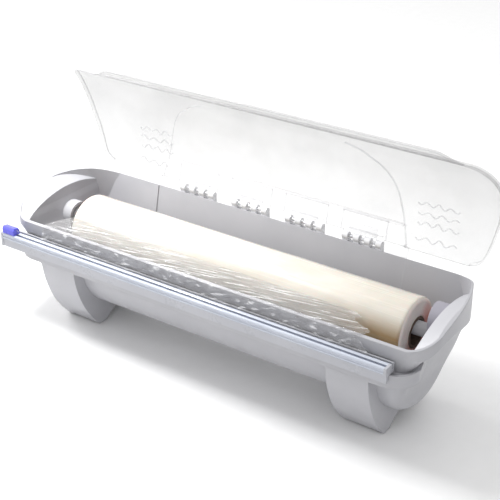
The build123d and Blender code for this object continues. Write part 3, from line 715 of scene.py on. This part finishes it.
def lid_details():
    """Ribs moulded into the lid: panel edges, frames over the hinges and grip waves."""
    pieces = []
    ys = np.linspace(PANEL_EDGE[0][0], PANEL_EDGE[-1][0], 70)
    for sign in (-1, 1):
        x = sign * smooth_curve(PANEL_EDGE, ys)
        pieces.append(tube(on_lid(x, ys, 2.0), PANEL_RADIUS[sign], flat=0.8))
    for centre, half in stations():
        for sign in (-1, 1):
            y = np.linspace(*WINDOW_RIB, 12)
            x = np.full_like(y, centre + sign * (half + 3.5))
            pieces.append(tube(on_lid(x, y, WINDOW_DEPTH), 0.8, flat=2.0))
        x = np.linspace(centre - half - 4, centre + half + 4, 24)
        pieces.append(tube(on_lid(x, np.full_like(x, WINDOW_FRONT), WINDOW_DEPTH), 0.8))
        x = np.linspace(centre - half, centre + half, 24)
        pieces.append(tube(on_lid(x, np.full_like(x, WINDOW_SILL), WINDOW_DEPTH), 0.9))
    for sign in (-1, 1):
        inner = GRIP_INNER[sign]
        x = np.linspace(inner, inner + GRIP_WIDTH, 90)
        for row, y in enumerate(GRIP_ROWS):
            phase = (x - inner) / GRIP_WIDTH * math.pi * (GRIP_HALF_WAVES - row % 2)
            wave = GRIP_HEIGHT * np.sin(phase) * (1 - 0.25 * np.cos(x / 5))
            pieces.append(tube(on_lid(sign * x, y + wave, 2.2), 0.75, sides=6))
    return pieces


def joined(pieces):
    """Several point and face lists as one."""
    points, faces = [], []
    for p, f in pieces:
        offset = sum(len(q) for q in points)
        points.append(np.asarray(p))
        faces += [tuple(i + offset for i in face) for face in f]
    return np.concatenate(points), faces


def make_lid():
    """The clear lid: a moulded sheet with its flange and tabs, and the ribs on its inside."""
    sheet = joined([lid_sheet(), lid_flange()] + lid_tabs())
    lid = new_object("lid_clear_shell", placed(opened(sheet[0])), sheet[1], lid_plastic)
    solid = lid.modifiers.new("wall", "SOLIDIFY")
    solid.thickness = SHEET * MM
    solid.offset = -1.0
    apply_modifiers(lid)
    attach(lid, "lid")
    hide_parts("lid_shell")
    ribs = joined(lid_details())
    detail = new_object("lid_moulded_ribs", placed(opened(ribs[0])), ribs[1], rib_plastic)
    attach(detail, "lid")


make_lid()


# ---------------------------------------------------------------- film roll


ROLL_SOFT = 4.5
ROLL_SIDES = 96
# The bore's chamfer, and how deep alternate steps of the wound end lie.
BORE_BACK, BORE_GAP, BORE_STEP = 0.9, 0.3, 1.6
END_DEEP, END_SHALLOW, END_STEPS = 0.35, 0.2, 9
SLACK, SLACK_LEVEL, SLACK_FADE = 0.35, 0.8, 25


def roll_end_profile(sign):
    """Points of one end in X and radius, from the bore out over the rounded corner."""
    inner = CORE_R + BORE_STEP
    ring = [(sign * (ROLL_HALF - BORE_BACK), CORE_R + BORE_GAP), (sign * ROLL_HALF, inner)]
    for k in range(1, END_STEPS):
        r = inner + (ROLL_R - ROLL_SOFT - CORE_R - BORE_STEP) * k / END_STEPS
        ring.append((sign * (ROLL_HALF - END_DEEP * (k % 2) - END_SHALLOW), r))
    for k in range(6):
        a = math.pi / 2 * k / 5
        ring.append((sign * (ROLL_HALF - ROLL_SOFT + ROLL_SOFT * math.cos(a)),
                     ROLL_R - ROLL_SOFT + ROLL_SOFT * math.sin(a)))
    return ring


def make_roll():
    """The wound film turned as one body: soft edges, slack bands and stepped ends."""
    straight = ROLL_HALF - ROLL_SOFT - 3
    along = [(x, ROLL_R) for x in np.linspace(-straight, straight, 90)]
    profile = roll_end_profile(-1) + along + roll_end_profile(1)[::-1]
    points = []
    for x, r in profile:
        for k in range(ROLL_SIDES):
            a = 2 * math.pi * k / ROLL_SIDES
            slack = 0.0
            if r > ROLL_R - 0.01:
                p = Vector((x / 60, 2.0 * math.cos(a), 2.0 * math.sin(a)))
                ease = min(1.0, (ROLL_HALF - abs(x)) / SLACK_FADE)
                slack = SLACK * (noise.noise(p) - SLACK_LEVEL) * ease
            points.append((x, (r + slack) * math.cos(a), (r + slack) * math.sin(a)))
    faces = grid_faces(len(profile), ROLL_SIDES, wrap=True)
    last = (len(profile) - 1) * ROLL_SIDES
    for k in range(ROLL_SIDES):
        j = (k + 1) % ROLL_SIDES
        faces.append((k, j, last + j, last + k))
    roll = new_object("film_roll_wound", placed(points), faces, roll_side)
    roll.data.materials.append(roll_end)
    limit = (ROLL_HALF - 0.5 * ROLL_SOFT) * MM
    for polygon in roll.data.polygons:
        if abs(polygon.center.x) > limit and abs(polygon.normal.x) > 0.6:
            polygon.material_index = 1
    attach(roll, "roll")
    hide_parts("film_roll")


make_roll()


# ---------------------------------------------------------------- free film


# The angle at which the film leaves the roll, and how far off the roll it starts.
WEB_LEAVE, WEB_GAP = math.radians(146), 0.7
# Its way on in Y and Z: over the trough's front rim and down to the cutter rail.
WEB_PATH = ((-52.0, 25.8), (-70.0, 29.2), (-78.2, 30.8), (-81.9, 29.0), (-82.8, 26.6),
            (-85.2, 19.6), (-87.4, 14.0))
RIM_POINT = 3
WEB_COLUMNS, WEB_ROWS = 420, 60
# The film's right edge at the roll, how far it widens up to the rim, and how much it sways.
WEB_RIGHT, WEB_WIDENS, WEB_SWAY = 168, 42, 6
WEB_RELIEF = 0.9


def web_lift(x, v, right, rim_at):
    """How far the wrinkles raise the film at x and at v along its path."""
    drawn = Vector((x / 42 - v / 30, v / 4.6 + x / 17, 3.1))
    ridge = 1 - abs(noise.noise(drawn)) * 2.2
    fine = noise.noise(Vector((x / 30, v / 2.1 + x / 8, 7.7)))
    crush = math.exp(-(right - x) / 26)
    crumple = noise.noise(Vector((x / 5, v / 4, 1.3))) * crush * 1.5
    free = min(v, abs(v - rim_at)) / rim_at
    calm = 1.0 if v < rim_at else 0.45
    height = calm * free * (0.75 * ridge + 0.45 * fine) + crumple * (0.25 + free)
    return height * WEB_RELIEF


def make_web():
    """The loose film: off the roll, over the trough's front rim and down to the cutter rail."""
    start = ((ROLL_R + WEB_GAP) * math.cos(WEB_LEAVE), (ROLL_R + WEB_GAP) * math.sin(WEB_LEAVE))
    path = np.array([start, *WEB_PATH])
    lengths = np.concatenate([[0], np.cumsum(np.hypot(*np.diff(path, axis=0).T))])
    along = np.linspace(0, lengths[-1], WEB_ROWS)
    y = np.interp(along, lengths, path[:, 0])
    z = np.interp(along, lengths, path[:, 1])
    rim_at = lengths[RIM_POINT]
    left = -ROLL_HALF + 0.5
    points = []
    for i, v in enumerate(along):
        right = WEB_RIGHT + WEB_WIDENS * min(1.0, v / rim_at) + WEB_SWAY * math.sin(v * 0.21)
        for j in range(WEB_COLUMNS):
            x = left + (right - left) * (j / (WEB_COLUMNS - 1))
            points.append((x, y[i], z[i] + web_lift(x, v, right, rim_at)))
    faces = grid_faces(WEB_ROWS, WEB_COLUMNS)
    web = new_object("film_web_loose", placed(points), faces, loose_film)
    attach(web, "base")
    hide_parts("film_web")


make_web()


# ---------------------------------------------------------------- stage, light and camera

FLOOR_HALF = 6.0


def floor_paint():
    """Plain pale paint with a faint speckle."""
    n = Nodes("floor_paint")
    colour = n.two_tone(n.noise(60, 2), (0.93, 0.93, 0.93), (0.95, 0.95, 0.95))
    return n.finish(n.surface(Base_Color=colour, Roughness=0.7))


corners = [(-FLOOR_HALF, -FLOOR_HALF, 0), (FLOOR_HALF, -FLOOR_HALF, 0),
           (FLOOR_HALF, FLOOR_HALF, 0), (-FLOOR_HALF, FLOOR_HALF, 0)]
floor = new_object("floor", corners, [(0, 1, 2, 3)], floor_paint())


def lamp(name, direction, distance, size, energy):
    """A soft rectangular lamp that stands off from the roll in a direction and faces it."""
    data = bpy.data.lights.new(name, "AREA")
    data.shape = "RECTANGLE"
    data.size, data.size_y = size
    data.energy = energy
    obj = bpy.data.objects.new(name, data)
    way = Vector(direction).normalized()
    obj.location = AXIS + way * distance
    obj.rotation_mode = "QUATERNION"
    obj.rotation_quaternion = way.to_track_quat("Z", "Y")
    bpy.context.scene.collection.objects.link(obj)


lamp("key_strip", (-0.50, -0.135, 0.825), distance=0.55, size=(0.23, 0.09), energy=4)
lamp("fill_left", (-0.95, 0.10, 0.55), distance=2.2, size=(1.2, 1.2), energy=20)
lamp("back_wash", (0.1, 0.9, 0.9), distance=2.4, size=(1.6, 0.8), energy=7)

world = bpy.data.worlds.new("studio")
world.use_nodes = True
background = world.node_tree.nodes["Background"]
background.inputs["Color"].default_value = (1.0, 1.0, 1.0, 1)
background.inputs["Strength"].default_value = 0.74
bpy.context.scene.world = world
bpy.context.scene.view_settings.view_transform = "Standard"

AZIMUTH, ELEVATION = math.radians(35.04), math.radians(26.46)
# How far the camera stands from the roll, and how far it is moved aside and up, in metres.
DISTANCE, ASIDE, ALOFT = 1.36272, 0.02022, 0.03907
# Focal length as a share of the sensor's width.
FOCAL_SHARE, SHIFT_X, SHIFT_Y = 2.4104, -0.0168, -0.0221
SENSOR = 36.0


def make_camera():
    """The camera to the right of the front, looking down at the dispenser."""
    level = math.cos(ELEVATION)
    back = Vector((math.sin(AZIMUTH) * level, -math.cos(AZIMUTH) * level, math.sin(ELEVATION)))
    right = Vector((math.cos(AZIMUTH), math.sin(AZIMUTH), 0))
    up = right.cross(-back)
    camera = bpy.data.objects.new("camera", bpy.data.cameras.new("camera"))
    camera.data.sensor_width = SENSOR
    camera.data.lens = SENSOR * FOCAL_SHARE
    camera.data.shift_x, camera.data.shift_y = SHIFT_X, SHIFT_Y
    place = AXIS + back * DISTANCE + right * ASIDE + up * ALOFT
    turn = Matrix((right, up, back)).transposed().to_4x4()
    camera.matrix_world = Matrix.Translation(place) @ turn
    bpy.context.scene.collection.objects.link(camera)
    bpy.context.scene.camera = camera


make_camera()
